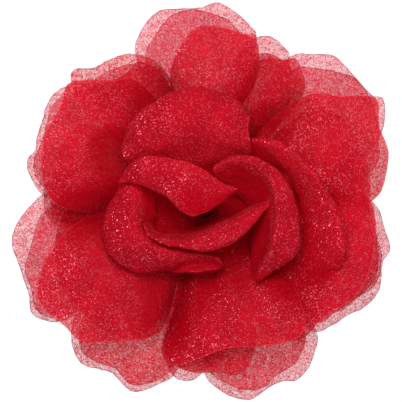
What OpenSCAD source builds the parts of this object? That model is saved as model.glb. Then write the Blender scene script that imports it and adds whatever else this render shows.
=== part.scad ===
// Flower hair clip: a rose of glitter organza on a felt disc, glued to a sprung alligator clip.
// Millimetres. +Z is the way the flower faces, +Y is the top of the flower, +X is its right.
// The origin is the centre of the surface that the rear petals and the clip lie on.

/* [Flower] */
// Distance from the centre to the tip of the longest rear petal
rear_reach = 56; // [50:0.5:58]
// Distance from the centre to the tip of the longest front petal
front_reach = 47.5; // [44:0.5:50]
// Thickness that stands for one layer of organza
cloth_t = 0.5; // [0.4:0.05:0.6]
// Height from one layer to the next where they are sewn together
layer_pitch = 0.8; // [0.75:0.05:0.9]
// Radius of the rounded scallops along a petal's edge
scallop_r = 15; // [14:0.5:16]
// Angle between the two scallops of one petal
scallop_spread = 20; // [16:1:24]

/* [Backing] */
// Diameter of the felt disc behind the flower
felt_d = 40; // [30:1:42]
// Thickness of the felt
felt_t = 1.2; // [1:0.1:1.4]
// Diameter of the pad of glue between the felt and the petals
glue_d = 24; // [16:1:26]
// Thickness of the pad of glue
glue_t = 0.8; // [0.6:0.1:1]

/* [Clip] */
// Height of the clip's flat top face, where the felt is glued
clip_top = 10; // [9.9:0.1:10.2]
// Thickness of the sheet steel
sheet_t = 0.6; // [0.5:0.05:0.6]
// Width of the upper arm
upper_w = 9; // [8.8:0.1:10]
// Width of the lower arm between the upper arm's ears
lower_w = 7.2; // [7:0.1:7.2]
// Distance from the hinge pin to the tip of the jaws
jaw_l = 32; // [30:0.5:33]
// Distance from the hinge pin to the end of the thumb levers
lever_l = 16; // [15:0.5:16]
// Spacing of the teeth
tooth_pitch = 2; // [1.6:0.1:2.4]
// Radius of the hinge pin
pin_r = 0.9; // [0.8:0.05:1]
// Thickness of the spring wire
wire_d = 0.6; // [0.5:0.05:0.6]

/* [Hidden] */
$fn = 48;

red = [0.80, 0.06, 0.12];
pale_red = [0.90, 0.35, 0.42];
deep_red = [0.62, 0.03, 0.07];
steel = [0.72, 0.72, 0.74];

// Each disc is cut with six petals, listed as [azimuth, tip distance as a share of the reach].
rear_petals = [[91, 0.98], [31, 0.98], [-24, 0.965], [-91, 0.93], [-158, 0.965], [150, 0.9]];
second_petals = [[60, 0.885], [4, 0.85], [-68, 0.98], [-118, 0.98], [178, 0.82], [124, 0.85]];
third_petals = [[98, 0.955], [38, 0.975], [-34, 0.94], [-84, 0.93], [-150, 0.95], [160, 0.87]];
fourth_petals = [[66, 0.87], [10, 0.87], [-60, 0.95], [-126, 0.94], [-172, 0.86], [132, 0.885]];
middle_petals = [[58, 0.99], [-4, 1], [-52, 1.02], [-108, 1], [-172, 0.94], [122, 1]];
front_petals = [[152, 1], [84, 1.02], [26, 1.09], [-22, 1.03], [-78, 0.98], [-139, 1.06]];

// The sewn middle of every disc is flat, and the petals bend up or down outside it.
hub_r = 20;
bend_span = rear_reach - hub_r;
web_r = 36;
front_web_r = 30;
thread_hole_r = 1.2;
thread_r = 0.9;
sewn_gap = 0.3;
flower_base = clip_top + felt_t + glue_t;
hub_top = flower_base + 5 * layer_pitch + cloth_t + sewn_gap;
inner_foot = hub_top + sewn_gap;

// The hinge pin, and the round ears of both arms that it passes through
pin_x = 6;
pin_z = clip_top - 3.4;
pin_head_h = 0.4;
pin_head_lip = 0.7;
ear_r = 2.4;
lower_ear_r = 2.3;
running_gap = 0.05;
plate_z = clip_top - sheet_t;
jaw_corner_r = 2;
thumb_corner_r = 4;
// How far the lower jaw's tip, bend, heel and thumb end lie below the plate or the pin
tip_drop = 1.2;
bend_drop = 2.5;
heel_drop = 2.7;
thumb_z = 0.8;
bend_run = 4;
tooth_gap = 0.1;
tooth_depth = 0.8;
untoothed_l = 14;
// Room above and below everything, for cutting an outline through a solid
cut_low = -5;
cut_h = 50;
spring_turns = 4.5;
coil_r = 1.55;
coil_pitch = 0.72;

// Height of a disc's underside, from the angle and curl of its petals
function dish(hub_z, slope, curl, r) =
    let (u = max(0, r - hub_r) / bend_span) hub_z + slope * u + curl * u * u;

// Outline of a bent strip of even thickness, mitred at each bend
function strip_normal(points, i) =
    let (along = points[i + 1] - points[i]) [-along[1], along[0]] / norm(along);

function strip_offset(points, i, half) =
    let (
        last = len(points) - 1,
        before = strip_normal(points, max(i - 1, 0)),
        after = strip_normal(points, min(i, last - 1)),
        middle = (before + after) / norm(before + after)
    )
    points[i] + middle * half / (middle * after);

function strip_outline(points, thickness) = concat(
    [for (i = [0 : len(points) - 1]) strip_offset(points, i, thickness / 2)],
    [for (i = [len(points) - 1 : -1 : 0]) strip_offset(points, i, -thickness / 2)]
);

// One petal: two round scallops side by side
module petal_blade(tip) {
    for (side = [-0.5, 0.5])
        rotate([0, 0, side * scallop_spread])
            translate([tip - scallop_r, 0])
                circle(r = scallop_r);
}

module disc_outline(petals, reach, middle_r) {
    circle(r = middle_r);
    for (p = petals)
        rotate([0, 0, p[0]])
            petal_blade(p[1] * reach);
}

// A disc of petals: a dished sheet cut to the outline, with a hole for the thread
module petal_disc(petals, reach, middle_r, layer, slope, curl) {
    hub_z = flower_base + layer * layer_pitch;
    stations = [thread_hole_r, hub_r, 26, 32, 38, 44, 49, 54, 59];
    under = [for (r = stations) [r, dish(hub_z, slope, curl, r)]];
    over = [for (i = [len(stations) - 1 : -1 : 0]) under[i] + [0, cloth_t]];
    intersection() {
        rotate_extrude($fn = 96)
            polygon(concat(under, over));
        translate([0, 0, cut_low])
            linear_extrude(height = cut_h)
                disc_outline(petals, reach, middle_r);
    }
}

// A curled petal: a wall that rises from foot_z and bends over in an arc, from the wall's top
// at wall_a degrees to the free edge at edge_a, swept part of the way round an upright axis
module curled_petal(centre, start, sweep, foot_z, mid_r, mid_z, curl_r, wall_a, edge_a) {
    steps = 7;
    wall_r = mid_r + curl_r * cos(wall_a);
    arc = [
        for (i = [0 : steps])
            let (a = wall_a + (edge_a - wall_a) * i / steps)
                [mid_r + curl_r * cos(a), mid_z + curl_r * sin(a)]
    ];
    translate([centre[0], centre[1], 0])
        rotate([0, 0, start])
            rotate_extrude(angle = sweep, $fn = 96)
                polygon(strip_outline(concat([[wall_r, foot_z]], arc), cloth_t));
}

module petal_disc_rear() {
    color(pale_red)
        petal_disc(rear_petals, rear_reach, web_r, layer = 0, slope = 0, curl = -12.7);
}

module petal_disc_second() {
    color(pale_red)
        petal_disc(second_petals, rear_reach, web_r, layer = 1, slope = 0, curl = -9);
}

module petal_disc_third() {
    color(pale_red)
        petal_disc(third_petals, rear_reach, web_r, layer = 2, slope = 1, curl = -7);
}

module petal_disc_fourth() {
    color(red)
        petal_disc(fourth_petals, rear_reach, web_r, layer = 3, slope = 3, curl = -6);
}

module petal_disc_middle() {
    color(red)
        petal_disc(middle_petals, front_reach, front_web_r, layer = 4, slope = 9, curl = -8);
}

module petal_disc_front() {
    color(red)
        petal_disc(front_petals, front_reach, front_web_r, layer = 5, slope = 17, curl = -12);
}

module top_dome_petal() {
    color(red)
        curled_petal(
            centre = [-3, 12], start = 2, sweep = 176, foot_z = inner_foot,
            mid_r = 11, mid_z = hub_top + 6, curl_r = 8.5, wall_a = 170, edge_a = 14
        );
}

module right_leaning_petal() {
    color(red)
        curled_petal(
            centre = [8, -6], start = -38, sweep = 104, foot_z = inner_foot + 4,
            mid_r = 28, mid_z = hub_top + 7.4, curl_r = 5.8, wall_a = 172, edge_a = 8
        );
}

module right_curled_petal() {
    color(red)
        curled_petal(
            centre = [12, -6], start = -75, sweep = 193, foot_z = inner_foot + 2,
            mid_r = 13, mid_z = hub_top + 9.5, curl_r = 3.8, wall_a = 178, edge_a = -25
        );
}

module left_curled_petal() {
    color(red)
        curled_petal(
            centre = [-10, -4], start = 140, sweep = 158, foot_z = inner_foot,
            mid_r = 12.5, mid_z = hub_top + 8, curl_r = 4.5, wall_a = 176, edge_a = 0
        );
}

module centre_tongue_petal() {
    color(red)
        curled_petal(
            centre = [-8, -8], start = 33, sweep = 108, foot_z = hub_top + 9.6,
            mid_r = 13.5, mid_z = hub_top + 14, curl_r = 5.5, wall_a = 176, edge_a = 10
        );
}

module centre_lip_petal() {
    color(deep_red)
        curled_petal(
            centre = [2, 12], start = 226, sweep = 90, foot_z = inner_foot,
            mid_r = 27, mid_z = hub_top + 8.5, curl_r = 5, wall_a = 200, edge_a = 112
        );
}

module small_fold_petal() {
    color(red)
        curled_petal(
            centre = [1, -12], start = 212, sweep = 116, foot_z = inner_foot,
            mid_r = 6.5, mid_z = hub_top + 3, curl_r = 2.6, wall_a = 178, edge_a = 10
        );
}

// The rolled middle of the flower, which the inner petals are sewn around
module rolled_core() {
    core_r = 4.5;
    core_h = 9;
    turn_t = 1.2;
    color(deep_red)
        translate([0, -1, hub_top])
            for (turn = [0 : 2])
                cylinder(h = core_h - turn, r = core_r - turn_t * (2 - turn));
}

module sewing_thread() {
    color(deep_red)
        translate([0, 0, clip_top + felt_t])
            cylinder(h = glue_t + 6 * layer_pitch, r = thread_r);
}

module glue_pad() {
    color([0.93, 0.91, 0.86])
        translate([0, 0, clip_top + felt_t])
            difference() {
                cylinder(h = glue_t, d = glue_d);
                cylinder(h = 3 * glue_t, r = thread_r, center = true);
            }
}

module felt_backing() {
    color(deep_red)
        translate([0, 0, clip_top])
            cylinder(h = felt_t, d = felt_d, $fn = 96);
}

// Turns a side view, drawn in X and Z, into a solid centred on the XZ plane
module side_extrude(width) {
    translate([0, width / 2, 0])
        rotate([90, 0, 0])
            linear_extrude(height = width)
                children();
}

// A plate in plan: a rectangle with its two ends rounded to different radii
module rounded_plan(from_x, to_x, width, from_r, to_r) {
    ends = [[from_x + from_r, from_r], [to_x - to_r, to_r]];
    translate([from_x + from_r, -width / 2])
        square([to_x - to_r - from_x - from_r, width]);
    for (e = ends) {
        translate([e[0] - e[1], e[1] - width / 2])
            square([2 * e[1], width - 2 * e[1]]);
        for (side = [-1, 1])
            translate([e[0], side * (width / 2 - e[1])])
                circle(r = e[1]);
    }
}

module pin_hole(r) {
    translate([pin_x, 0, pin_z])
        rotate([90, 0, 0])
            cylinder(h = 2 * upper_w, r = r, center = true);
}

module clip_upper_arm() {
    tip_x = pin_x - jaw_l;
    thumb_x = pin_x + lever_l;
    color(steel)
        difference() {
            union() {
                translate([0, 0, plate_z])
                    linear_extrude(height = sheet_t)
                        rounded_plan(tip_x, thumb_x, upper_w, jaw_corner_r, thumb_corner_r);
                for (side = [-1, 1])
                    translate([0, side * (upper_w - sheet_t) / 2, 0])
                        side_extrude(sheet_t) {
                            translate([pin_x, pin_z])
                                circle(r = ear_r);
                            translate([pin_x - ear_r, pin_z])
                                square([2 * ear_r, plate_z - pin_z + sheet_t / 2]);
                        }
            }
            pin_hole(pin_r);
        }
}

module clip_lower_arm() {
    narrow_corner_r = 1;
    narrow_to = pin_x + 8;
    lever_from = pin_x + 5;
    tip = [pin_x - jaw_l, plate_z - tip_drop];
    bend = [pin_x - bend_run, pin_z - bend_drop];
    heel = [pin_x + bend_run, pin_z - heel_drop];
    thumb = [pin_x + lever_l, thumb_z];
    teeth_from = tip[0] + tip_drop;
    teeth = floor((jaw_l - untoothed_l) / tooth_pitch);
    teeth_to = teeth_from + teeth * tooth_pitch;
    top_z = plate_z - tooth_gap;
    wall_rise = 0.4;
    zigzag = [
        for (i = [0 : teeth - 1])
            for (half = [0, 1])
                [
                    teeth_from + (i + half / 2) * tooth_pitch,
                    half == 0 ? top_z - tooth_depth : top_z
                ]
    ];
    color(steel)
        difference() {
            union() {
                intersection() {
                    side_extrude(2 * upper_w)
                        polygon(strip_outline([tip, bend, heel, thumb], sheet_t));
                    translate([0, 0, cut_low])
                        linear_extrude(height = cut_h)
                            union() {
                                rounded_plan(tip[0], narrow_to, lower_w, narrow_corner_r, narrow_corner_r);
                                rounded_plan(lever_from, thumb[0], upper_w, narrow_corner_r, thumb_corner_r);
                            }
                }
                for (side = [-1, 1])
                    translate([0, side * (lower_w - sheet_t) / 2, 0])
                        side_extrude(sheet_t) {
                            polygon(concat(
                                [heel, bend, [teeth_from, tip[1]]],
                                zigzag,
                                [
                                    [teeth_to, top_z - tooth_depth],
                                    [bend[0], pin_z + wall_rise],
                                    [pin_x, pin_z + lower_ear_r - sheet_t],
                                    [pin_x + lower_ear_r - sheet_t, pin_z]
                                ]
                            ));
                            translate([pin_x, pin_z])
                                circle(r = lower_ear_r);
                        }
            }
            pin_hole(pin_r + running_gap);
        }
}

// A rivet: a plain shank with a flat round head at each end
module hinge_pin() {
    color([0.62, 0.62, 0.64])
        translate([pin_x, 0, pin_z])
            rotate([90, 0, 0]) {
                cylinder(h = upper_w, r = pin_r, center = true);
                for (side = [-1, 1])
                    translate([0, 0, side * (upper_w + pin_head_h) / 2])
                        cylinder(h = pin_head_h, r = pin_r + pin_head_lip, center = true);
            }
}

// The middle line of the spring wire: a leg, the coil around the pin, and the other leg
steps_per_turn = 12;
leg_l = 8;
leg_bend = 3;
coil_half = coil_pitch * spring_turns / 2;
coil_path = [
    for (i = [0 : spring_turns * steps_per_turn])
        let (a = 90 + 360 * i / steps_per_turn)
            [
                pin_x + coil_r * cos(a),
                coil_half - coil_pitch * i / steps_per_turn,
                pin_z + coil_r * sin(a)
            ]
];
upper_leg = [
    [pin_x + leg_l, coil_half, plate_z - wire_d / 2 - 0.1],
    [pin_x + leg_bend, coil_half, plate_z - wire_d / 2 - 0.5]
];
lower_leg = [
    [pin_x + leg_bend, -coil_half, pin_z - coil_r - 0.15],
    [pin_x + leg_l, -coil_half, pin_z - coil_r - 1.15]
];
wire_path = concat(upper_leg, coil_path, lower_leg);

function unit(v) = v / norm(v);

// Points of one ring around the wire, square to it
function wire_ring(i, sides) =
    let (
        last = len(wire_path) - 1,
        along = unit(wire_path[min(i + 1, last)] - wire_path[max(i - 1, 0)]),
        across = unit(cross(along, [0, 1, 0])),
        third = cross(along, across)
    )
    [
        for (k = [0 : sides - 1])
            let (a = 360 * k / sides)
                wire_path[i] + wire_d / 2 * (across * cos(a) + third * sin(a))
    ];

module torsion_spring() {
    sides = 8;
    rings = len(wire_path);
    points = [for (i = [0 : rings - 1]) each wire_ring(i, sides)];
    walls = [
        for (i = [0 : rings - 2])
            for (k = [0 : sides - 1])
                let (next = (k + 1) % sides)
                    each [
                        [i * sides + k, (i + 1) * sides + next, i * sides + next],
                        [i * sides + k, (i + 1) * sides + k, (i + 1) * sides + next]
                    ]
    ];
    first_cap = [for (k = [0 : sides - 1]) k];
    last_cap = [for (k = [sides - 1 : -1 : 0]) (rings - 1) * sides + k];
    color([0.55, 0.55, 0.58])
        polyhedron(points, concat([first_cap], walls, [last_cap]));
}

petal_disc_rear();
petal_disc_second();
petal_disc_third();
petal_disc_fourth();
petal_disc_middle();
petal_disc_front();
top_dome_petal();
right_leaning_petal();
right_curled_petal();
left_curled_petal();
centre_tongue_petal();
centre_lip_petal();
small_fold_petal();
rolled_core();
sewing_thread();
glue_pad();
felt_backing();
clip_upper_arm();
hinge_pin();
torsion_spring();
clip_lower_arm();
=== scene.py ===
"""Looks for the organza flower hair clip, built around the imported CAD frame.

Lengths are in millimetres, and become metres where a mesh is made. Azimuths are in
degrees, anticlockwise from +X, seen from above.
"""

import math

import bpy
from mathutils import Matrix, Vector, noise


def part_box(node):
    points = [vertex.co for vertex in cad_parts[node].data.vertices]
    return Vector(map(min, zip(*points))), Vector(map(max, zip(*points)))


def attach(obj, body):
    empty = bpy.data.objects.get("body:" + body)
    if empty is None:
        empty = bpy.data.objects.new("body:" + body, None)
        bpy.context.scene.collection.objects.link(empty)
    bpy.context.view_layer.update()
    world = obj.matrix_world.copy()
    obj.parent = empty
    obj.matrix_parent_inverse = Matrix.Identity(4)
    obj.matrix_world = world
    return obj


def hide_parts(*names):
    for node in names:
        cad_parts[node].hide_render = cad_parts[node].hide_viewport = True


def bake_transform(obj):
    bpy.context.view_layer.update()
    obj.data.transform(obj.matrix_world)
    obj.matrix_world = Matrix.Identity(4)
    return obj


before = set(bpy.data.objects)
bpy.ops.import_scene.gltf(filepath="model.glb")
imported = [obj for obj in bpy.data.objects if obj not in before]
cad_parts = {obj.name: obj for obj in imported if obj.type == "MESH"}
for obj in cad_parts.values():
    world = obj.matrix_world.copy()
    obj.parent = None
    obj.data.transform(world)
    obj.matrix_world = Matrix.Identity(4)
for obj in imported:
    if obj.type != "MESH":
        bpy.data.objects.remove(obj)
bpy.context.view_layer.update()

MM = 0.001
FLOWER_BODY = "flower_and_upper_arm"

# Heights that the frame gives.
glue_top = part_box("glue_pad")[1].z / MM
core_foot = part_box("rolled_core")[0].z / MM
core_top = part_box("rolled_core")[1].z / MM
layer_pitch = (core_foot - glue_top) / 6

# Every petal disc is flat out to the hub and bends over the span beyond it.
hub_r = 20
bend_span = 36
needle_hole_r = 1.2


# ---------------------------------------------------------------- small helpers


def mix(a, b, t):
    return a + (b - a) * t


def smooth(low, high, x):
    t = min(1.0, max(0.0, (x - low) / (high - low)))
    return t * t * (3 - 2 * t)


def polar(r, azimuth):
    a = math.radians(azimuth)
    return r * math.cos(a), r * math.sin(a)


def steps(n, low=0.0, high=1.0):
    return [mix(low, high, i / n) for i in range(n + 1)]


def crumple(x, y, z, size, seed):
    """Smooth noise from -1 to 1, with features about that many millimetres across."""
    return noise.noise(Vector((x / size, y / size, z / size + 17.3 * seed)))


def spline(points, t):
    """The Catmull-Rom curve through points, at t from 0 to 1."""
    n = len(points) - 1
    i = min(int(t * n), n - 1)
    f = t * n - i
    p1, p2 = points[i], points[i + 1]
    p0 = points[i - 1] if i > 0 else [2 * a - b for a, b in zip(p1, p2)]
    p3 = points[i + 2] if i + 2 <= n else [2 * b - a for a, b in zip(p1, p2)]
    return [
        0.5
        * (
            2 * b
            + (c - a) * f
            + (2 * a - 5 * b + 4 * c - d) * f * f
            + (3 * b - a - 3 * c + d) * f**3
        )
        for a, b, c, d in zip(p0, p1, p2, p3)
    ]


def make_mesh(name, points, faces, rim=None, lit=None, flat=None):
    """A mesh object from points in millimetres. rim, lit and flat are values for each point."""
    mesh = bpy.data.meshes.new(name)
    mesh.from_pydata([(x * MM, y * MM, z * MM) for x, y, z in points], [], faces)
    mesh.validate()
    for polygon in mesh.polygons:
        polygon.use_smooth = True
    for key, values in (("rim", rim), ("lit", lit)):
        if values is not None:
            mesh.attributes.new(key, "FLOAT", "POINT").data.foreach_set("value", values)
    if flat is not None:
        layer = mesh.uv_layers.new(name="flat")
        for loop in mesh.loops:
            u, v = flat[loop.vertex_index]
            layer.data[loop.index].uv = (u * MM, v * MM)
    piece = bpy.data.objects.new(name, mesh)
    bpy.context.scene.collection.objects.link(piece)
    return piece


def grid_faces(rows, columns, first=0, wrap=False):
    """Quads over a grid of points that is stored row by row."""
    last = columns if wrap else columns - 1
    return [
        (
            first + i * columns + j,
            first + i * columns + (j + 1) % columns,
            first + (i + 1) * columns + (j + 1) % columns,
            first + (i + 1) * columns + j,
        )
        for i in range(rows - 1)
        for j in range(last)
    ]


# ---------------------------------------------------------------- petal discs

# Layer is the disc's place in the stack. Slope and curl say how it lifts and then
# bends down over the bend span. Gather is how far its petals' sides drop, pleat is how
# deep the gathers near the hub are, and ruffle is the wave along the edge.
DISCS = {
    "rear": dict(layer=0, slope=0, curl=-12.2, gather=1.2, pleat=0.3, ruffle=0.9),
    "second": dict(layer=1, slope=0, curl=-9, gather=1.2, pleat=0.3, ruffle=0.9),
    "third": dict(layer=2, slope=1, curl=-7, gather=1.2, pleat=0.3, ruffle=0.8),
    "fourth": dict(layer=3, slope=3, curl=-6, gather=1.4, pleat=0.3, ruffle=0.7),
    "middle": dict(layer=4, slope=5, curl=-6, gather=2.4, pleat=0.5, ruffle=0.6),
    "front": dict(layer=5, slope=20, curl=-17, gather=5.5, pleat=0.55, ruffle=0.5),
}

# Each petal's outline, as (azimuth, radius) points from its clockwise side, round its
# tip, to its anticlockwise side.
PETALS = {
    "rear": [
        [
            (69, 32), (71, 47), (74, 50.4), (82, 54.4), (86, 55.2), (90, 53.8), (97, 53.7),
            (101, 54.2), (105, 53.1), (110, 49.6), (114, 45), (117, 34),
        ],
        [
            (8, 34), (14, 46), (20, 53), (25, 56.4), (29.5, 58), (32, 55.8), (39, 54.9), (44, 54.9),
            (48, 54.5), (53, 51), (58, 47.5), (61, 38), (62, 30),
        ],
        [
            (-54, 34), (-50, 47), (-43, 50.3), (-38, 51.6), (-33, 54.1), (-27, 55.3), (-22, 54),
            (-18, 53.2), (-14.4, 54.3), (-9, 51.8), (-1, 48.3), (3, 42), (4, 32),
        ],
        [
            (-106, 34), (-103, 44), (-99, 49.2), (-94, 50), (-91, 48.8), (-88, 46), (-84, 40),
            (-83, 30),
        ],
        [
            (174, 34), (177, 43), (181.5, 47.2), (187.5, 51.8), (193, 53.9), (199, 53.5),
            (205, 53.9), (209, 54.5), (213.5, 56.4), (218, 54.2), (221, 50.5), (224, 42), (225, 32),
        ],
        [
            (128, 34), (133, 43), (137, 47.6), (143, 50.3), (148, 50.4), (153, 49.4), (159, 48.8),
            (163, 48.1), (166, 49.4), (170, 48.7), (175.5, 45.6), (179, 42), (181, 32),
        ],
    ],
    "second": [
        [
            (52, 32), (57, 44), (59, 47.6), (62, 48.5), (65, 49.3), (69, 49), (73, 46), (77, 40),
            (78, 30),
        ],
        [(-16, 30), (-13, 42), (-6, 45.5), (4, 46.5), (14, 45.5), (20, 41), (22, 30)],
        [
            (-92, 34), (-89, 47.5), (-84, 53), (-78, 56.4), (-75, 56.6), (-70, 55), (-66, 54.8),
            (-62, 56.3), (-57, 54.9), (-53, 52.4), (-48.7, 48.8), (-46, 40), (-45, 30),
        ],
        [
            (220, 34), (222, 46), (225.5, 51.4), (231, 55.1), (234.5, 55.9), (239, 54.5),
            (243, 53.7), (249.5, 56.1), (253.5, 54.6), (258, 51.4), (261, 49), (264, 42), (265, 32),
        ],
        [(166, 30), (168, 40), (173, 43), (179, 43.5), (185, 43), (190, 40), (192, 30)],
        [(108, 30), (111, 38), (117, 42.5), (125, 44), (132, 44.5), (138, 42), (141, 34)],
    ],
    "third": [
        [
            (68, 34), (71, 47.6), (76, 47.5), (81, 50.5), (85, 51.6), (92, 53), (97, 52.6),
            (101, 50.9), (106, 47), (111, 43), (114, 32),
        ],
        [
            (6.5, 32), (8, 44), (12, 49.8), (20, 52.4), (28, 54.4), (34, 54.9), (39, 54.4),
            (42.5, 52.4), (50.5, 47.7), (54, 45.7), (58, 38), (60, 28),
        ],
        [
            (-52, 34), (-46, 46.6), (-41, 47.8), (-37, 49.7), (-32, 50.8), (-25, 53.6), (-17, 52.3),
            (-12.5, 50.2), (-4, 46.9), (2, 45.6), (6, 38), (6, 28),
        ],
        [(-108, 30), (-104, 42), (-98, 46.4), (-91, 47), (-84, 45), (-79, 40), (-77, 30)],
        [
            (178, 32), (181, 40), (185, 44.4), (190, 46.6), (195.5, 49), (201, 52.2), (207, 52.8),
            (213, 54.6), (218, 52.6), (221, 48), (224, 40), (225, 30),
        ],
        [
            (130, 32), (134, 42), (140, 46.8), (147, 48.8), (153, 47.8), (160, 47), (166, 47.6),
            (172, 46), (176, 42.5), (179, 38), (180, 28),
        ],
    ],
    "fourth": [
        [(46, 30), (49, 40), (54, 44), (61, 45), (68, 44), (74, 40), (76, 30)],
        [
            (-50, 30), (-46, 43), (-40, 47.6), (-33, 50.2), (-25, 52.6), (-18, 51.6), (-12, 49.6),
            (-4, 46.6), (6, 47), (14, 47), (20, 43), (22, 32),
        ],
        [
            (-91, 32), (-89, 44), (-86.4, 48), (-82.7, 50.5), (-77, 53.6), (-72, 54.4), (-67, 52.6),
            (-60, 51.8), (-55.6, 49.8), (-52, 47), (-49, 40), (-48, 30),
        ],
        [
            (222, 32), (224, 44), (227, 49.6), (232, 53.2), (238, 52.8), (243, 52), (249, 54.2),
            (254, 52.4), (258, 49.4), (262, 44), (264, 32),
        ],
        [
            (142, 28), (145, 37), (151, 40.5), (160, 41.5), (170, 41), (180, 41.5), (186, 41),
            (190, 37), (191, 28),
        ],
        [
            (102, 28), (105, 36.8), (108, 40.3), (112, 43.4), (117, 45.6), (123, 46.5), (129, 47.3),
            (134, 50.4), (138, 48), (142, 40), (143, 30),
        ],
    ],
    "middle": [
        [
            (44, 30), (46, 40), (49, 43.6), (53, 45.8), (56.5, 47), (60, 45), (66, 43), (72, 38),
            (74, 28),
        ],
        [
            (-18, 30), (-16, 40), (-9, 44), (0, 45), (12, 45.5), (24, 46), (34, 44), (40, 40),
            (42, 28),
        ],
        [
            (-66, 28), (-64, 40), (-58, 45.5), (-53, 47.1), (-46, 46.4), (-38, 44), (-32, 40),
            (-30, 28),
        ],
        [
            (-104, 28), (-103, 42), (-98, 46), (-92, 47.4), (-84, 47.6), (-78, 49), (-73, 46.4),
            (-69, 42), (-66, 36), (-65, 26),
        ],
        [(180, 28), (183, 36), (190, 40), (205, 44), (220, 45), (235, 44), (246, 41), (253, 30)],
        [
            (103, 26), (106, 35), (110, 39.6), (114.5, 42.2), (119, 41), (125, 41), (131, 43),
            (134, 45), (138, 45), (141, 38), (142, 28),
        ],
    ],
    "front": [
        [
            (62, 22), (65, 35), (67.5, 41.5), (71, 46.6), (78, 47.6), (87, 48.4), (92, 47.6),
            (96, 44.3), (101, 39.5), (105, 33), (107, 22),
        ],
        [
            (-6, 22), (-5, 34), (-2, 44), (2, 49), (8.5, 51.5), (15, 53.4), (23, 53.2), (29, 55.8),
            (32, 54.6), (37, 47.8), (41, 45.2), (45, 41), (48, 34), (51, 22),
        ],
        [
            (-44, 22), (-48, 34), (-51, 42), (-47, 46.2), (-40, 47.6), (-32, 49.8), (-25, 50.4),
            (-18, 49.8), (-11, 49), (-2, 47.4), (4, 44), (8, 36), (8, 24),
        ],
        [
            (-103, 20), (-104, 33), (-105, 42), (-100, 46), (-90, 43), (-79, 41.2), (-66, 43.5),
            (-55, 46), (-49, 44), (-44, 37), (-38, 27), (-40, 20),
        ],
        [
            (186, 20), (189, 33), (197, 42), (204, 48.3), (210, 52), (215, 52.4), (221, 51),
            (230, 50.6), (236, 46.6), (243, 43.2), (249, 40.4), (253.5, 36), (254, 28), (253, 20),
        ],
        [
            (110, 20), (114, 31), (119, 38.5), (126, 41), (132, 45), (139, 48.8), (146, 46.5),
            (158, 46.4), (168, 44.9), (176, 42.8), (182, 39), (186, 30), (188, 20),
        ],
    ],
}
# Where the petals part from the hub, and the surface that the rear petals rest on.
web_r = 15
bed_z = 0.3
# How high or deep each kind of unevenness is, and how far across.
FRAY, FRAY_SIZE = 0.22, 0.9
SWELL, SWELL_SIZE = 0.8, 13
CREASE, CREASE_SIZE = 0.28, 4.5
CRINKLE, CRINKLE_SIZE = 0.10, 1.7
# How far a petal's sides stand above and below its middle line, like a fan's blades.
TILT = 0.9
# The radii where the front of the flower starts to get light, and gets all of it.
SHADE_R, LIGHT_R = 18, 37
# lit is 1 in full light, 0 on the hub, and below 0 in the valleys between petals.
VALLEY_LIT, HOLLOW_LIT = -0.9, -0.2


# Where the discs lie in the hollows beside the curled petals: each one's x and y, and how
# far its shade reaches.
HOLLOWS = ((30, -15, 13), (18, 20, 10), (-25, 14, 10))


def petal_centre(outline):
    """The middle azimuth of an outline, and half the angle that it spans."""
    azimuths = [azimuth for azimuth, _ in outline]
    return (min(azimuths) + max(azimuths)) / 2, (max(azimuths) - min(azimuths)) / 2


def disc_height(disc, r):
    u = max(0.0, r - hub_r) / bend_span
    return glue_top + disc["layer"] * layer_pitch + disc["slope"] * u + disc["curl"] * u * u


def petal_point(disc, outline, index, w, t, start, end):
    """A point of a petal, and how open it lies to the light. w goes along the petal's
    outline from -1 to 1, and t from its hub to its edge."""
    share = (w + 1) / 2
    edge_azimuth, edge_r = spline(outline, share)
    seed = 7 * disc["layer"] + index
    fray = FRAY * crumple(edge_azimuth, edge_r, 0, FRAY_SIZE, seed + 30)
    r = mix(web_r, edge_r + fray, t)
    angle = mix(mix(start, end, share), edge_azimuth, 0.6 * smooth(0, 0.5, t) + 0.4 * t)
    x, y = polar(r, angle)
    centre, half = petal_centre(outline)
    across = min(1.2, abs(angle - centre) / half)
    turn = (angle - centre) / half
    out = smooth(web_r, 48, r)
    z = disc_height(disc, r)
    z -= disc["gather"] * across**2.4 * smooth(web_r, 28, r)
    z += TILT * turn * smooth(web_r, 40, r)
    z += disc["ruffle"] * out * math.sin(5.5 * turn + 1.7 * seed) * (0.35 + 0.65 * t)
    z += disc["pleat"] * smooth(web_r, 21, r) * smooth(44, 28, r) * math.sin(9 * turn + 2.3 * seed)
    z += SWELL * out * crumple(x, y, 0, SWELL_SIZE, seed)
    z += CREASE * smooth(web_r, 30, r) * crumple(x, y, 0, CREASE_SIZE, seed + 50)
    z += CRINKLE * smooth(web_r, 30, r) * crumple(x, y, 0, CRINKLE_SIZE, seed + 90)
    # A soft stop, so that nothing goes below the surface that the rear petals rest on.
    z = 0.5 * (z + bed_z + math.hypot(z - bed_z, 0.9))
    # Painted shade: lit falls towards the hub, into the valleys between petals and in the hollows
    # beside the curled petals.
    valley = across**2.5 * smooth(50, 34, r)
    hollow = max(smooth(reach, 0.3 * reach, math.hypot(x - a, y - b)) for a, b, reach in HOLLOWS)
    lit = mix(smooth(SHADE_R, LIGHT_R, r), VALLEY_LIT, valley)
    return (x, y, z), mix(lit, HOLLOW_LIT, 0.85 * hollow)


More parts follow.
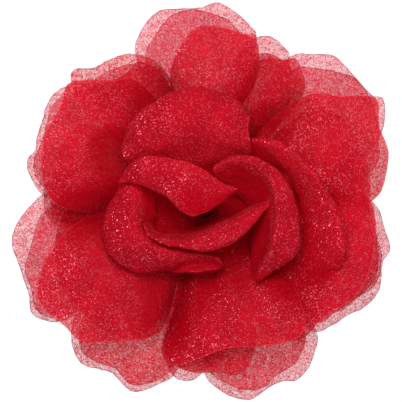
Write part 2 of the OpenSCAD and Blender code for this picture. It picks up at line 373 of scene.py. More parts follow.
def petal_disc(name):
    """One disc of organza: a flat hub with a needle hole, and its petals around it."""
    disc = DISCS[name]
    petals = sorted(PETALS[name], key=lambda outline: petal_centre(outline)[0] % 360)
    across, along, hub_rings = 58, 34, 5
    azimuths = [petal_centre(outline)[0] % 360 for outline in petals]
    borders = []
    for i, azimuth in enumerate(azimuths):
        before = azimuths[i - 1] - (360 if i == 0 else 0)
        borders.append((azimuth + before) / 2)
    borders.append(borders[0] + 360)

    w_stops = [-1.0] + steps(across, -0.985, 0.985) + [1.0]
    t_stops = steps(along, 0.0, 0.984) + [1.0]
    points, faces, rim, lit, flat = [], [], [], [], []

    def add(point, at_rim, light):
        points.append(point)
        rim.append(at_rim)
        lit.append(light)
        flat.append((point[0], point[1]))
        return len(points) - 1

    # The hub's rings use the same angles as the petals' inner ends.
    angles = []
    for i in range(len(petals)):
        angles += [mix(borders[i], borders[i + 1], (w + 1) / 2) for w in w_stops[:-1]]
    rings = []
    for r in steps(hub_rings, needle_hole_r, web_r):
        rings.append([add((*polar(r, a), disc_height(disc, r)), 0.0, 0.0) for a in angles])
    count = len(angles)
    for inner, outer in zip(rings, rings[1:]):
        for j in range(count):
            k = (j + 1) % count
            faces.append((inner[j], inner[k], outer[k], outer[j]))

    for i, outline in enumerate(petals):
        turn = azimuths[i] - petal_centre(outline)[0]
        turned = [(azimuth + turn, r) for azimuth, r in outline]
        first = i * (len(w_stops) - 1)
        row = [rings[-1][(first + j) % count] for j in range(len(w_stops))]
        for t in t_stops[1:]:
            new = []
            for j, w in enumerate(w_stops):
                at_rim = 1.0 if t == 1.0 or (abs(w) == 1.0 and t > 0.1) else 0.0
                point, light = petal_point(disc, turned, i, w, t, borders[i], borders[i + 1])
                new.append(add(point, at_rim, light))
            for j in range(len(w_stops) - 1):
                faces.append((row[j], row[j + 1], new[j + 1], new[j]))
            row = new
    return make_mesh(f"organza_disc_{name}", points, faces, rim, lit, flat)


# ---------------------------------------------------------------- curled petals


# Each curled petal is a net of points. A row runs along the petal, and the rows go
# across it, over its crest.
CURLED = {
    "top_dome_petal": [
        [(14, 11, 19), (9, 8, 19), (2, 7, 19), (-6, 7, 20), (-14, 7, 20), (-20, 8, 19)],
        [
            (13.6, 16, 25), (8, 17, 28), (-0.6, 17, 29.5), (-8.5, 16, 29.3), (-15.5, 13.6, 27.5),
            (-20.6, 11, 23.4),
        ],
        [
            (13, 20, 26), (8.4, 24, 28.6), (-0.6, 25.5, 30.2), (-9.4, 23.4, 30), (-17, 18.6, 28),
            (-21.4, 13.4, 23.6),
        ],
        [
            (13.4, 23.2, 23.8), (9.2, 28.2, 25), (-0.6, 31.2, 25.8), (-10.3, 28.8, 25.6),
            (-18.4, 22.8, 24.6), (-22.2, 15, 22),
        ],
        [
            (13, 22, 20.5), (8.8, 26.6, 20.6), (-0.6, 29.2, 20.8), (-9.6, 27.2, 20.8),
            (-17.4, 21.8, 20.4), (-21.4, 14.6, 19.6),
        ],
    ],
    "right_leaning_petal": [
        [
            (13, 13, 18), (21.4, 9, 20), (25.2, 4.6, 20.4), (27.6, -2, 20.4), (28.2, -9, 20.2),
            (27.4, -15, 19.6), (27, -20, 18),
        ],
        [
            (12.6, 15.4, 20), (20.6, 12.4, 24), (27.4, 6.4, 24.6), (31.4, -0.6, 24.6),
            (33.4, -8.4, 24.2), (33, -15.6, 22.6), (31, -21.4, 18.8),
        ],
        [
            (12.8, 17, 21), (21.4, 15, 26.6), (29.2, 8.6, 28.2), (34.4, 1.2, 28.2),
            (37.8, -7.4, 27.4), (38.4, -15.6, 24.4), (35.4, -21.8, 19.4),
        ],
        [
            (13, 17.6, 20.4), (22, 16, 25.8), (30.3, 9.2, 27.2), (35.6, 1.3, 27.2),
            (39, -7.4, 26.4), (39.5, -16, 23.4), (36, -22.8, 18.8),
        ],
    ],
    "right_curled_petal": [
        [
            (4.4, 3, 19.6), (8, 2.4, 19), (11.6, 0, 18.6), (13.4, -4, 18.4), (14, -9, 18.4),
            (13.6, -14, 18.6), (14.4, -20, 18.6),
        ],
        [
            (3.8, 6.2, 24), (8, 7.4, 25), (12.6, 6.4, 25.2), (16.4, 2.8, 25.2), (17.6, -4, 25),
            (17.2, -11.6, 24), (14.6, -20.6, 20),
        ],
        [
            (3.4, 8.4, 27), (7.6, 11, 29.2), (13.4, 10.6, 30.2), (18.3, 7, 30.8), (20.4, -1.4, 31),
            (20.2, -10.4, 29.8), (15, -21.2, 21.4),
        ],
        [
            (3.7, 9.2, 27), (8.2, 11.9, 29.1), (14.6, 11.4, 30), (20, 7, 30.6), (23, -1.6, 30.8),
            (23, -12, 29.2), (15.4, -21.7, 21.4),
        ],
        [
            (4, 9.8, 25.8), (8.8, 12.5, 27.6), (16.2, 11.4, 28.4), (22.8, 6, 28.6),
            (26.8, -3, 28.4), (25.9, -14.4, 26.4), (15.8, -22.1, 20.6),
        ],
        [
            (4.4, 9.4, 21), (9, 11.4, 20.6), (16, 10, 20.8), (22, 5, 20.6), (25.4, -3.4, 20.6),
            (24.4, -13.6, 20.2), (15.8, -21.6, 18.6),
        ],
    ],
    "left_curled_petal": [
        [
            (-15, 7, 20.4), (-13, 1.4, 20), (-12.8, -2.8, 20), (-12.8, -7.4, 20), (-9.4, -11, 20),
            (-4, -12.4, 19.6), (1, -13, 19),
        ],
        [
            (-17, 7.4, 23), (-16.2, 1.6, 25), (-16.4, -3.6, 26.6), (-16, -8.2, 26.8),
            (-12.2, -12, 26.2), (-6.2, -13.6, 25), (0, -14.2, 23),
        ],
        [
            (-18.6, 7.2, 23.8), (-18.6, 1, 26.6), (-18.8, -4.6, 28), (-18, -9.6, 28),
            (-12.8, -13, 27.2), (-6.6, -14.6, 25.8), (0, -14.8, 23.4),
        ],
        [
            (-20.8, 6.6, 22.6), (-22.4, -0.4, 25.2), (-22.6, -7, 26.6), (-21.4, -12.8, 26.2),
            (-15.8, -16.6, 25.2), (-8, -17, 24.2), (-0.8, -15.8, 22.8),
        ],
        [
            (-22.4, 5.4, 20.8), (-25.8, -3, 22.2), (-27, -9, 22.8), (-25, -15.8, 22.4),
            (-18, -19.4, 21.8), (-9, -19.2, 21.2), (-1.6, -16.4, 21),
        ],
        [
            (-21.6, 5.2, 18.6), (-24.8, -3, 18.8), (-25.8, -9, 18.8), (-23.8, -14.8, 18.8),
            (-17.4, -18.2, 18.8), (-9, -18, 18.8), (-2, -15.4, 18.8),
        ],
    ],
    "centre_tongue_petal": [
        [
            (-22.6, 5.2, 24.4), (-18.6, 9.6, 27), (-12, 11.2, 30), (-5, 10, 31.6), (1, 8, 32),
            (5.5, 5, 31.6), (9.4, 3.1, 31),
        ],
        [
            (-22.9, 5.2, 25.4), (-19, 10.4, 28.2), (-13, 12.2, 31.4), (-5.6, 11, 33.6),
            (1, 8.4, 33.8), (5.6, 5.4, 33), (9.9, 3.4, 31.5),
        ],
        [
            (-22.4, 4.8, 26), (-17.6, 7.6, 30), (-11.2, 7.4, 33.2), (-5, 4.8, 34.8), (1, 3, 34.8),
            (6, 2.8, 33.8), (9.9, 3.2, 31.8),
        ],
        [
            (-21.8, 4.6, 25.6), (-16, 4.3, 29), (-9.6, 1.2, 32), (-5.4, -2.4, 33),
            (-0.8, -3.8, 32.8), (5.8, -0.6, 32.4), (9.6, 2.7, 31.5),
        ],
        [
            (-21.2, 4.8, 24), (-15.4, 5, 26), (-9.2, 2.4, 28.2), (-5, -0.8, 28.8), (-0.6, -1.8, 29),
            (5, 0.6, 29.8), (9, 2.7, 30.3),
        ],
    ],
    "centre_lip_petal": [
        [
            (-15, -5.4, 24), (-11.4, -8.4, 22), (-4, -8, 20), (2, -6.2, 20), (8, -3.8, 20),
            (13.6, -1.2, 21), (18, 1, 22.4),
        ],
        [
            (-15.6, -6, 27), (-12.6, -9.6, 27), (-4.6, -10.4, 28), (1.4, -8.6, 28.9),
            (7.8, -5.6, 29.2), (13.6, -2.2, 29), (19, 0.3, 27.4),
        ],
        [
            (-15.9, -6.3, 27.4), (-13.2, -10, 27.5), (-5, -11.6, 28.7), (2.2, -10.8, 29.4),
            (9, -7.8, 29.7), (14.2, -3.4, 29.2), (19.4, 0, 27.4),
        ],
        [
            (-16.1, -6.4, 26.9), (-13.6, -10.4, 26.8), (-5.4, -13, 27.4), (2.4, -13.6, 27.8),
            (9.6, -11, 28.3), (14.8, -6, 28.2), (19.6, -0.6, 26.8),
        ],
        [
            (-15.4, -6.6, 23), (-12.6, -9.8, 22), (-4.8, -11.8, 20), (2.2, -12.6, 19.4),
            (8.4, -10.4, 19.4), (12.8, -6.2, 19.8), (17.2, -2.4, 21),
        ],
    ],
    "small_fold_petal": [
        [
            (-8, -18.4, 18.8), (-4.8, -15, 20), (0.4, -13.9, 20.4), (4.4, -14.6, 20),
            (6.6, -17.6, 19),
        ],
        [
            (-8.2, -19, 20.6), (-4.8, -15.9, 23.4), (0.6, -14.8, 24), (4.2, -15.6, 23.4),
            (6, -17.8, 21),
        ],
        [
            (-8.2, -19.3, 20.4), (-4, -18, 21.6), (0.4, -17.4, 21.8), (3.4, -17.4, 21.6),
            (5.6, -18.2, 20.8),
        ],
        [
            (-8, -19.6, 20.6), (-3.6, -19.5, 23), (0.2, -19.3, 23.4), (3, -18.9, 23),
            (5.4, -18.5, 21),
        ],
        [
            (-7.6, -19.6, 18.8), (-3.4, -20, 19.2), (0.2, -20, 19.4), (3, -19.6, 19.2),
            (5.4, -18.8, 18.8),
        ],
    ],
}
# Where a curled petal's crest, with its paler edge, runs: a share of the way across it.
CRESTS = {
    "right_leaning_petal": (0.67,),
    "right_curled_petal": (0.4,),
    "centre_tongue_petal": (0.25, 0.75),
    "centre_lip_petal": (0.75,),
    "small_fold_petal": (0.25, 0.75),
}


# How deep the soft folds and puckers in a curled petal are, and how far across.
FOLD, FOLD_SIZE = 0.5, 6.0
PUCKER, PUCKER_SIZE = 0.24, 2.4
# The heights where a curled petal starts to get light, and gets all of it.
SHADE_Z, LIGHT_Z = 19, 27
# The part of a curled petal that gets little light: where that starts and is complete,
# as shares of the way across it and then along it.
SHADED = {
    "right_curled_petal": (0.38, 0.24, -1.0, 0.0),
    "left_curled_petal": (0.26, 0.10, -1.0, 0.0),
    "centre_tongue_petal": (0.42, 0.62, 0.3, 0.6),
}


def curled_petal(name, index):
    """A petal lofted through its net, with soft creases pressed into it."""
    net = CURLED[name]
    across, along = 40, 84
    v_stops = [0.0] + steps(across, 0.012, 0.988) + [1.0]
    u_stops = steps(along)
    rows = []
    for v in v_stops:
        line = [spline([row[k] for row in net], v) for k in range(len(net[0]))]
        rows.append([spline(line, u) for u in u_stops])
    points, rim, lit, flat = [], [], [], []
    down = 0.0
    for i, row in enumerate(rows):
        middle = len(row) // 2
        if i:
            down += (Vector(row[middle]) - Vector(rows[i - 1][middle])).length
        run = 0.0
        for j, (x, y, z) in enumerate(row):
            if j:
                run += (Vector(row[j]) - Vector(row[j - 1])).length
            left, right = row[max(j - 1, 0)], row[min(j + 1, len(row) - 1)]
            above, below = rows[max(i - 1, 0)][j], rows[min(i + 1, len(rows) - 1)][j]
            normal = (Vector(right) - Vector(left)).cross(Vector(below) - Vector(above))
            normal.normalize()
            fold = FOLD * crumple(x, y, z, FOLD_SIZE, index)
            pucker = PUCKER * crumple(x, y, z, PUCKER_SIZE, index + 9)
            points.append(tuple(Vector((x, y, z)) + normal * (fold + pucker)))
            crests = CRESTS.get(name, ())
            at_crest = any(abs(v_stops[i] - crest) < 0.5 / across for crest in crests)
            rim.append(0.5 if at_crest else 0.0)
            # Painted shade: lit drops towards the petal's foot and over its shaded part.
            shaded = 0.0
            if name in SHADED:
                v0, v1, u0, u1 = SHADED[name]
                shaded = 0.8 * smooth(v0, v1, v_stops[i]) * smooth(u0, u1, u_stops[j])
            lit.append(smooth(SHADE_Z, LIGHT_Z, z) * (1 - shaded))
            flat.append((run, down))
    faces = grid_faces(len(rows), len(u_stops))
    return make_mesh(f"organza_{name}", points, faces, rim, lit, flat)


def rolled_core():
    """The rolled strip of organza in the middle: three turns of it, standing on the hub."""
    turns, inner_r, outer_r = 3.0, 1.3, 4.4
    columns, rows = 150, 14
    points, rim, lit, flat = [], [], [], []
    run = 0.0
    before = None
    for v in steps(rows):
        for u in steps(columns):
            angle = 360 * turns * u
            r = mix(inner_r, outer_r, u) + 0.18 * math.sin(math.radians(5 * angle + 90 * v))
            x, y = polar(r, angle)
            top = core_top - 2.2 * u + 0.5 * math.sin(math.radians(3 * angle))
            points.append((x, y - 1, mix(core_foot, top, v)))
            here = Vector((x, y))
            run = 0.0 if before is None or u == 0 else run + (here - before).length
            before = here
            rim.append(1.0 if v == 1.0 else 0.0)
            # Painted shade: lit is 0 at the roll's foot and rises to half at its top.
            lit.append(0.5 * v)
            flat.append((run, (core_top - core_foot) * v))
    faces = grid_faces(rows + 1, columns + 1)
    return make_mesh("organza_rolled_core", points, faces, rim, lit, flat)


# ---------------------------------------------------------------- hidden and metal pieces


def felt_pad():
    """The felt disc: a cut sheet with soft, slightly fuzzy edges."""
    low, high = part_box("felt_backing")
    radius, foot, top = high.x / MM, low.z / MM, high.z / MM
    around, points = 128, []
    # Half of the profile: share of the radius, and depth below a face.
    profile = [(0.02, 0), (0.35, 0), (0.7, 0), (0.93, 0), (0.985, 0.12), (1.0, 0.4)]
    stations = [(share, top - depth) for share, depth in profile]
    stations += [(share, foot + depth) for share, depth in reversed(profile)]
    for share, z in stations:
        for k in range(around):
            x, y = polar(radius * share, 360 * k / around)
            at_edge = share > 0.95
            out = 0.12 * crumple(x, y, z, 1.4, 3) if at_edge else 0.0
            bump = 0.0 if at_edge else 0.035 * crumple(x, y, 5 * z, 1.2, 4)
            grown = 1 + out / radius
            points.append((x * grown, y * grown, z + bump))
    faces = grid_faces(len(stations), around, wrap=True)
    faces.append(tuple(range(around)))
    last = (len(stations) - 1) * around
    faces.append(tuple(last + k for k in reversed(range(around))))
    return make_mesh("felt_pad", points, [tuple(reversed(f)) for f in faces])


def glue_blob():
    """Hot glue pressed flat between the felt and the flower, with a lobed edge."""
    low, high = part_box("glue_pad")
    radius, foot, top = high.x / MM, low.z / MM, high.z / MM
    around, points = 96, []
    stations = [(0.10, top), (0.5, top), (0.9, top), (0.98, top - 0.2), (1.0, (top + foot) / 2)]
    stations += [(0.985, foot + 0.15), (0.9, foot), (0.5, foot), (0.10, foot)]
    for share, z in stations:
        for k in range(around):
            angle = 360 * k / around
            wave = 1 + 0.035 * math.sin(math.radians(5 * angle + 20)) * (share > 0.85)
            points.append((*polar(radius * share * wave * 0.97, angle), z))
    faces = [tuple(reversed(f)) for f in grid_faces(len(stations), around, wrap=True)]
    last = (len(stations) - 1) * around
    faces += [
        (k, (k + 1) % around, last + (k + 1) % around, last + k)
        for k in range(around)
    ]
    return make_mesh("glue_blob", points, faces)


def tube(path, radius, sides=10):
    """The points and faces of a closed round tube along a path."""
    points, faces = [], []
    line = [Vector(p) for p in path]
    side = None
    for i, p in enumerate(line):
        ahead = (line[min(i + 1, len(line) - 1)] - line[max(i - 1, 0)]).normalized()
        if side is None:
            side = ahead.orthogonal().normalized()
        side = (side - ahead * side.dot(ahead)).normalized()
        other = ahead.cross(side)
        for k in range(sides):
            a = 2 * math.pi * k / sides
            points.append(tuple(p + radius * (math.cos(a) * side + math.sin(a) * other)))
    faces = grid_faces(len(line), sides, wrap=True)
    faces.append(tuple(reversed(range(sides))))
    last = (len(line) - 1) * sides
    faces.append(tuple(last + k for k in range(sides)))
    return points, faces


def thread_stitches():
    """The doubled sewing thread: up through every disc's needle hole, wound round itself."""
    foot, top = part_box("sewing_thread")[0].z / MM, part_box("sewing_thread")[1].z / MM
    points, faces = [], []
    strands, turns, wind_r, strand_r = 3, 3.0, 0.42, 0.36
    for k in range(strands):
        path = []
        for t in steps(60):
            x, y = polar(wind_r, 360 * (turns * t + k / strands))
            path.append((x, y, mix(foot + 0.1, top - 0.1, t)))
        new_points, new_faces = tube(path, strand_r)
        faces += [tuple(len(points) + v for v in face) for face in new_faces]
        points += new_points
    return make_mesh("thread_stitches", points, faces)


def spring_wire():
    """The torsion spring: a coil on the hinge pin, with a leg under each arm's lever."""
    pin_low, pin_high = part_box("hinge_pin")
    x0, z0 = (pin_low.x + pin_high.x) / 2 / MM, (pin_low.z + pin_high.z) / 2 / MM
    wire_d, coil_r, turns, half_w = 0.6, 1.55, 4.5, 1.62
    upper, lower = (14.0, 9.0), (14.0, 3.9)
    # Each leg runs from its end under a thumb lever to just short of the coil.
    leg_x = x0 + 1.2
    path = [(upper[0], -half_w, upper[1])]
    for t in (0.35, 0.7, 0.95):
        path.append((mix(upper[0], leg_x, t), -half_w, mix(upper[1], z0 + coil_r, t)))
    for t in steps(int(turns * 28)):
        angle = math.radians(90 + 360 * turns * t)
        y = mix(-half_w, half_w, t)
        path.append((x0 + coil_r * math.cos(angle), y, z0 + coil_r * math.sin(angle)))
    for t in (0.05, 0.3, 0.65, 1.0):
        path.append((mix(leg_x, lower[0], t), half_w, mix(z0 - coil_r, lower[1], t)))
    points, faces = tube(path, wire_d / 2, 12)
    return make_mesh("spring_wire", points, faces), z0


# ---------------------------------------------------------------- materials


def new_material(name):
    """A material with an empty node tree."""
    material = bpy.data.materials.new(name)
    material.use_nodes = True
    tree = material.node_tree
    tree.nodes.clear()
    return material, tree


class Graph:
    """Short names for making and joining shader nodes."""

    def __init__(self, tree):
        self.tree = tree

    def node(self, kind, **settings):
        made = self.tree.nodes.new(kind)
        for key, value in settings.items():
            setattr(made, key, value)
        return made

    def link(self, source, target):
        self.tree.links.new(source, target)

    def set(self, socket, value):
        if isinstance(value, bpy.types.NodeSocket):
            self.link(value, socket)
        else:
            socket.default_value = value

    def math(self, operation, a, b=0.0, clamp=False):
        made = self.node("ShaderNodeMath", operation=operation, use_clamp=clamp)
        self.set(made.inputs[0], a)
        self.set(made.inputs[1], b)
        return made.outputs[0]

    def ramp(self, value, low, high, to_low=0.0, to_high=1.0):
        made = self.node("ShaderNodeMapRange", interpolation_type="SMOOTHSTEP")
        for socket, number in zip(made.inputs[:5], (value, low, high, to_low, to_high)):
            self.set(socket, number)
        return made.outputs[0]

    def mix_colour(self, factor, a, b):
        made = self.node("ShaderNodeMix", data_type="RGBA")
        self.set(made.inputs[0], factor)
        self.set(made.inputs[6], a)
        self.set(made.inputs[7], b)
        return made.outputs[2]

    def mix_shader(self, factor, a, b):
        made = self.node("ShaderNodeMixShader")
        self.set(made.inputs[0], factor)
        self.link(a, made.inputs[1])
        self.link(b, made.inputs[2])
        return made.outputs[0]

    def noise(self, coordinates, size, detail=2.0, roughness=0.5):
        made = self.node("ShaderNodeTexNoise")
        self.link(coordinates, made.inputs["Vector"])
        made.inputs["Scale"].default_value = 1 / (size * MM)
        made.inputs["Detail"].default_value = detail
        made.inputs["Roughness"].default_value = roughness
        return made.outputs["Fac"]

    def noise_vector(self, coordinates, size, reach):
        """A push of up to about that many millimetres each way, from smooth noise."""
        made = self.node("ShaderNodeTexNoise")
        self.link(coordinates, made.inputs["Vector"])
        made.inputs["Scale"].default_value = 1 / (size * MM)
        made.inputs["Detail"].default_value = 2.0
        centred = self.node("ShaderNodeVectorMath", operation="SUBTRACT")
        self.link(made.outputs["Color"], centred.inputs[0])
        centred.inputs[1].default_value = (0.5, 0.5, 0.5)
        scaled = self.node("ShaderNodeVectorMath", operation="SCALE")
        self.link(centred.outputs[0], scaled.inputs[0])
        scaled.inputs["Scale"].default_value = 2 * reach * MM
        return scaled.outputs[0]

    def voronoi(self, coordinates, size, feature="F1"):
        made = self.node("ShaderNodeTexVoronoi", feature=feature)
        self.link(coordinates, made.inputs["Vector"])
        made.inputs["Scale"].default_value = 1 / (size * MM)
        return made

    def output(self, shader):
        self.link(shader, self.node("ShaderNodeOutputMaterial").inputs["Surface"])


RED = (0.66, 0.0080, 0.025, 1.0)
RED_SHEER = (0.76, 0.018, 0.062, 1.0)
# Painted shade colours: the cloth on the hub and in hollows, the darker cloth in the valleys
# between petals, and the inner petals' folds, which stay redder as a painted glow.
FOLD_SHADE_RED = (0.47, 0.0016, 0.009, 1.0)
VALLEY_SHADE_RED = (0.24, 0.0008, 0.005, 1.0)
GLOWING_SHADE_RED = (0.55, 0.0020, 0.012, 1.0)
RED_MIDDLE = (0.70, 0.006, 0.028, 1.0)
RIM_DARK = (0.42, 0.018, 0.045, 1.0)
RIM_BRIGHT = (0.74, 0.022, 0.048, 1.0)
# The faint flakes' colour: the glitter's own, and a painted glint where lit marks light.
FLAKE_AND_GLINT = (0.95, 0.125, 0.175, 1.0)
THREAD_PITCH = 0.42
FLAKE_SIZE = 0.32
DRIFT_SIZE = 8
# The two sizes of cell between the lacquer's cracks, and how wide their cracks are.
CRACKS = ((1.15, 0.13), (0.62, 0.16))


def organza(name, cover, lace, glow_share, cloth, shade_red, rim_colour, sparkle):
    """Sheer glitter organza. cover is how much of the light a single layer stops between
    its crackled lacquer lines, and lace is how much more the lines stop. glow_share is
    how much of the rest passes through it as a glow. The argument after cloth is its
    painted shade colour, taken in folds where little white light gets in."""
    material, tree = new_material(name)
    g = Graph(tree)
    place = g.node("ShaderNodeTexCoord").outputs["Object"]
    flat = g.node("ShaderNodeUVMap", uv_map="flat").outputs["UV"]
    rim = g.node("ShaderNodeAttribute", attribute_name="rim").outputs["Fac"]
    lit = g.node("ShaderNodeAttribute", attribute_name="lit").outputs["Fac"]

    # The weave's threads, its bunched and open patches, and cracks in the glitter lacquer.
    split = g.node("ShaderNodeSeparateXYZ")
    g.link(flat, split.inputs[0])
    threads = []
    for axis in (0, 1):
        wave = g.math("MULTIPLY", split.outputs[axis], 2 * math.pi / (THREAD_PITCH * MM))
        threads.append(g.math("MULTIPLY", g.math("SINE", wave), 0.5))
    weave = g.math("ADD", threads[0], threads[1])
    patches = g.noise(place, 1.6, 3.0, 0.65)
    warp = g.node("ShaderNodeVectorMath", operation="ADD")
    g.link(place, warp.inputs[0])
    g.link(g.noise_vector(place, 0.9, 0.55), warp.inputs[1])
    cracks = []
    for cell, width in CRACKS:
        crack = g.voronoi(warp.outputs[0], cell, "DISTANCE_TO_EDGE").outputs["Distance"]
        cracks.append(g.ramp(crack, 0.0, width, 1.0, 0.0))
    crack_line = g.math("MAXIMUM", cracks[0], g.math("MULTIPLY", cracks[1], 0.75))
    speck = g.noise(place, 0.34, 1.0, 0.5)

    bunch = g.ramp(patches, 0.3, 0.72, -0.3 * lace, 0.3 * lace)
    grain = g.ramp(speck, 0.3, 0.7, -0.55 * lace, 0.45 * lace)
    open_share = g.math("ADD", g.math("ADD", bunch, grain), g.math("MULTIPLY", weave, 0.05))
    lines = g.math("MULTIPLY", crack_line, lace)
    covered = g.math("ADD", g.math("ADD", open_share, lines), cover, clamp=True)
    rim_line = g.ramp(g.math("ADD", rim, g.ramp(patches, 0.3, 0.7, -0.2, 0.2)), 0.15, 0.75)
    covered = g.math("MAXIMUM", covered, g.math("MULTIPLY", rim_line, 0.85))

    # Glitter flakes: many faint ones, and a few bright ones that gather in drifts. They show only
    # as far as lit marks light, so the faint ones' paler colour is partly the glitter's own and
    # partly a painted glint, and painted shade hides the bright ones' mirror.
    flake = g.voronoi(place, FLAKE_SIZE)
    drift = g.noise(place, DRIFT_SIZE, 3.0, 0.6)
    pick = g.node("ShaderNodeSeparateColor")
    g.link(flake.outputs["Color"], pick.inputs[0])
    level = g.math("ADD", pick.outputs[0], g.ramp(drift, 0.38, 0.62, -0.12, 0.03))
    near = g.math("LESS_THAN", flake.outputs["Distance"], 0.5)
    flakes_in_light = g.math("MULTIPLY", near, g.ramp(lit, 0.1, 0.8, 0.15, 1.0))
    faint = g.math("MULTIPLY", g.ramp(level, 0.58, 1.0), flakes_in_light)
    bright = g.math("MULTIPLY", g.ramp(level, 1 - 4 * sparkle, 1.0), flakes_in_light)

    tone = g.noise(place, 6.5, 3.0, 0.6)
    deep = tuple(0.8 * c for c in cloth[:3]) + (1.0,)
    base = g.mix_colour(g.ramp(tone, 0.3, 0.7), deep, cloth)
    # Painted shade: where lit is 0 the colour goes to the fold shade colour, and where it is -1 to
    # the darker valley shade.
    shade = g.mix_colour(g.ramp(lit, -1.0, 0.0), VALLEY_SHADE_RED, shade_red)
    base = g.mix_colour(g.ramp(lit, 0.0, 0.9), shade, base)
    base = g.mix_colour(rim_line, base, rim_colour)
    base = g.mix_colour(faint, base, FLAKE_AND_GLINT)

    bump = g.node("ShaderNodeBump")
    bump.inputs["Strength"].default_value = 0.35
    bump.inputs["Distance"].default_value = 0.12 * MM
    g.link(g.math("ADD", patches, g.math("MULTIPLY", weave, 0.2)), bump.inputs["Height"])

    skin = g.node("ShaderNodeBsdfPrincipled")
    g.link(base, skin.inputs["Base Color"])
    g.link(g.math("SUBTRACT", 0.62, g.math("MULTIPLY", bright, 0.2)), skin.inputs["Roughness"])
    skin.inputs["Specular IOR Level"].default_value = 0.0
    skin.inputs["Sheen Weight"].default_value = 0.02
    skin.inputs["Sheen Roughness"].default_value = 0.4
    skin.inputs["Sheen Tint"].default_value = (1.0, 0.45, 0.5, 1.0)
    g.link(bump.outputs["Normal"], skin.inputs["Normal"])

    glow = g.node("ShaderNodeBsdfTranslucent")
    g.link(base, glow.inputs["Color"])
    cloth_shader = g.mix_shader(glow_share, skin.outputs[0], glow.outputs[0])

    # The flakes also mirror the lights, each one tipped its own way.
    tip = g.node("ShaderNodeVectorMath", operation="SUBTRACT")
    g.link(flake.outputs["Color"], tip.inputs[0])
    tip.inputs[1].default_value = (0.5, 0.5, 0.5)
    lean = g.node("ShaderNodeVectorMath", operation="SCALE")
    g.link(tip.outputs[0], lean.inputs[0])
    lean.inputs["Scale"].default_value = 1.1
    tilted = g.node("ShaderNodeVectorMath", operation="ADD")
    g.link(g.node("ShaderNodeNewGeometry").outputs["Normal"], tilted.inputs[0])
    g.link(lean.outputs[0], tilted.inputs[1])
    unit = g.node("ShaderNodeVectorMath", operation="NORMALIZE")
    g.link(tilted.outputs[0], unit.inputs[0])
    mirror = g.node("ShaderNodeBsdfAnisotropic")
    mirror.inputs["Color"].default_value = (1.0, 0.20, 0.28, 1.0)
    mirror.inputs["Roughness"].default_value = 0.22
    g.link(unit.outputs[0], mirror.inputs["Normal"])
    cloth_shader = g.mix_shader(g.math("MULTIPLY", bright, 0.42), cloth_shader, mirror.outputs[0])

    clear = g.node("ShaderNodeBsdfTransparent")
    g.output(g.mix_shader(covered, clear.outputs[0], cloth_shader))
    return material


def plain_finish(
    name, colour, roughness, metallic=0.0, grain=0.4, contrast=0.25, bump_mm=0.05, stretch=1.0
):
    """A finish with mottled colour and a fine surface grain, drawn out along X by stretch."""
    material, tree = new_material(name)
    g = Graph(tree)
    place = g.node("ShaderNodeTexCoord").outputs["Object"]
    mapping = g.node("ShaderNodeMapping")
    mapping.inputs["Scale"].default_value = (1 / stretch, 1.0, 1.0)
    g.link(place, mapping.inputs["Vector"])
    fine = g.noise(mapping.outputs[0], grain, 4.0, 0.6)
    broad = g.noise(place, 7 * grain + 2, 3.0, 0.55)
    dark = tuple(c * (1 - contrast) for c in colour) + (1.0,)
    tone = g.math("MULTIPLY", g.math("ADD", fine, broad), 0.5)
    mottled = g.mix_colour(g.ramp(tone, 0.36, 0.62), dark, (*colour, 1.0))
    rough = g.ramp(broad, 0.3, 0.7, roughness * 0.8, min(1.0, roughness * 1.25))
    shader = g.node("ShaderNodeBsdfPrincipled")
    g.link(mottled, shader.inputs["Base Color"])
    g.link(rough, shader.inputs["Roughness"])
    shader.inputs["Metallic"].default_value = metallic
    bump = g.node("ShaderNodeBump")
    bump.inputs["Strength"].default_value = 0.5
    bump.inputs["Distance"].default_value = bump_mm * MM
    g.link(fine, bump.inputs["Height"])
    g.link(bump.outputs["Normal"], shader.inputs["Normal"])
    g.output(shader.outputs[0])
    return material, shader


organza_rear = organza("organza_rear", 0.54, 0.35, 0.55, RED_SHEER, FOLD_SHADE_RED, RIM_DARK, 0.05)
organza_middle = organza("organza_middle", 0.72, 0.26, 0.45, RED, FOLD_SHADE_RED, RIM_DARK, 0.06)
organza_fourth = organza("organza_fourth", 0.62, 0.32, 0.52, RED_MIDDLE, FOLD_SHADE_RED, RIM_DARK, 0.06)
organza_front = organza("organza_front", 0.80, 0.18, 0.36, RED, FOLD_SHADE_RED, RIM_BRIGHT, 0.13)
organza_inner = organza("organza_inner", 0.97, 0.06, 0.42, RED, GLOWING_SHADE_RED, RIM_BRIGHT, 0.07)
felt_red, felt_shader = plain_finish(
    "felt_red", (0.46, 0.012, 0.022), 0.95, grain=0.35, contrast=0.45, bump_mm=0.25
)
felt_shader.inputs["Sheen Weight"].default_value = 0.05
felt_shader.inputs["Sheen Tint"].default_value = (0.9, 0.2, 0.25, 1.0)
thread_red, _ = plain_finish("thread_red", (0.5, 0.02, 0.03), 0.7, grain=0.15, contrast=0.4)
hot_glue, glue_shader = plain_finish("hot_glue", (0.86, 0.82, 0.70), 0.35, grain=0.8, contrast=0.12)
glue_shader.inputs["Subsurface Weight"].default_value = 0.4
glue_shader.inputs["Subsurface Scale"].default_value = 0.8 * MM
nickel, _ = plain_finish(
    "nickel_plate",
    (0.52, 0.51, 0.49),
    0.26,
    metallic=1.0,
    grain=0.12,
    contrast=0.14,
    bump_mm=0.006,
    stretch=14.0,
)
spring_steel, _ = plain_finish(
    "spring_steel", (0.56, 0.56, 0.57), 0.3, metallic=1.0, grain=0.1, contrast=0.2, bump_mm=0.006
)


# ---------------------------------------------------------------- the object's pieces


def finish_piece(piece, material, slot, *nodes, body=FLOWER_BODY):
    piece.data.materials.clear()
    piece.data.materials.append(material)
    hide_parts(*nodes)
    if body:
        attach(piece, body)
    return piece


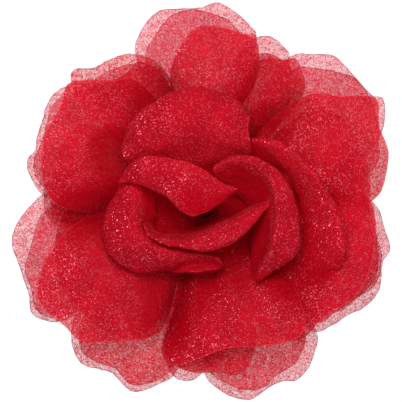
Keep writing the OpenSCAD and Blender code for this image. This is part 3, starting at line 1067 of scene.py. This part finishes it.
# The flat cut of each disc: its width and length, and its area in square metres.
DISC_CUTS = {
    "rear": ((0.112, 0.112), 0.0079),
    "second": ((0.106, 0.110), 0.0058),
    "third": ((0.108, 0.108), 0.0067),
    "fourth": ((0.100, 0.104), 0.0057),
    "middle": ((0.096, 0.096), 0.0050),
    "front": ((0.106, 0.106), 0.0065),
}

DISC_CLOTH = {"fourth": organza_fourth, "middle": organza_middle, "front": organza_front}
rear_discs = ("rear", "second", "third", "fourth")
for disc_name, (cut, cut_area) in DISC_CUTS.items():
    is_rear = disc_name in rear_discs
    disc_piece = finish_piece(
        petal_disc(disc_name),
        DISC_CLOTH.get(disc_name, organza_rear),
        "organza_rear" if is_rear else "organza_front",
        f"petal_disc_{disc_name}",
    )

CURLED_CUTS = {
    "top_dome_petal": (0.040, 0.028),
    "right_leaning_petal": (0.044, 0.012),
    "right_curled_petal": (0.038, 0.028),
    "left_curled_petal": (0.034, 0.024),
    "centre_tongue_petal": (0.032, 0.015),
    "centre_lip_petal": (0.031, 0.023),
    "small_fold_petal": (0.013, 0.010),
}
for petal_index, (petal_name, cut) in enumerate(CURLED_CUTS.items()):
    petal_piece = finish_piece(
        curled_petal(petal_name, petal_index), organza_inner, "organza_inner", petal_name
    )

core_piece = finish_piece(rolled_core(), organza_inner, "organza_inner", "rolled_core")

felt_piece = finish_piece(felt_pad(), felt_red, "felt", "felt_backing")
finish_piece(glue_blob(), hot_glue, "hot_glue", "glue_pad")
finish_piece(thread_stitches(), thread_red, "thread", "sewing_thread")

spring_piece, pin_height = spring_wire()
finish_piece(spring_piece, spring_steel, "spring_steel", "torsion_spring", body=None)
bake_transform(spring_piece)

for node_name in ("clip_upper_arm", "clip_lower_arm", "hinge_pin"):
    cad_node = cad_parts[node_name]
    cad_node.data.materials.clear()
    cad_node.data.materials.append(nickel)


# ---------------------------------------------------------------- floor, light and camera


def stage_floor():
    """A plain white table, low enough for the jaw to swing open above it. It can be seen
    through from below."""
    size, top = 900, -26
    corners = [(-size, -size), (size, -size), (size, size), (-size, size)]
    floor = make_mesh("floor", [(x, y, top) for x, y in corners], [(0, 1, 2, 3)])
    material, tree = new_material("white_table")
    g = Graph(tree)
    paint = g.node("ShaderNodeBsdfDiffuse")
    paint.inputs["Color"].default_value = (0.15, 0.15, 0.15, 1.0)
    light = g.node("ShaderNodeEmission")
    light.inputs["Strength"].default_value = 0.97
    both = g.node("ShaderNodeAddShader")
    g.link(paint.outputs[0], both.inputs[0])
    g.link(light.outputs[0], both.inputs[1])
    from_below = g.node("ShaderNodeNewGeometry").outputs["Backfacing"]
    clear = g.node("ShaderNodeBsdfTransparent")
    g.output(g.mix_shader(from_below, both.outputs[0], clear.outputs[0]))
    floor.data.materials.append(material)


def softbox(name, place, size, power):
    """A square white lamp that faces the flower."""
    lamp = bpy.data.lights.new(name, "AREA")
    lamp.shape = "SQUARE"
    lamp.size = size * MM
    lamp.energy = power
    thing = bpy.data.objects.new(name, lamp)
    thing.location = Vector(place) * MM
    aim = Vector((0, 0, 15)) * MM - thing.location
    thing.rotation_euler = aim.to_track_quat("-Z", "Y").to_euler()
    bpy.context.scene.collection.objects.link(thing)


def world_light(strength):
    """Even light from all round, in front of a backdrop that looks plain white."""
    world = bpy.data.worlds.new("room")
    world.use_nodes = True
    g = Graph(world.node_tree)
    background = world.node_tree.nodes["Background"]
    background.inputs["Color"].default_value = (1.0, 1.0, 1.0, 1.0)
    seen = g.node("ShaderNodeLightPath").outputs["Is Camera Ray"]
    g.link(g.ramp(seen, 0.0, 1.0, strength, 1.0), background.inputs["Strength"])
    bpy.context.scene.world = world


def overhead_camera():
    """Straight above, from far away, so that the view is nearly parallel."""
    distance, seen_width, sensor = 2000, 111.1, 36
    lens = bpy.data.cameras.new("camera")
    lens.sensor_width = sensor
    lens.lens = sensor * distance / seen_width
    lens.clip_end = 20
    camera = bpy.data.objects.new("camera", lens)
    camera.location = Vector((0, 0, distance + 10)) * MM
    bpy.context.scene.collection.objects.link(camera)
    bpy.context.scene.camera = camera


stage_floor()
softbox("key", (-55, 190, 500), 260, 2.65)
softbox("fill", (240, -240, 480), 400, 1.0)
world_light(0.25)
overhead_camera()

scene = bpy.context.scene
scene.view_settings.view_transform = "Standard"
scene.cycles.transparent_max_bounces = 32
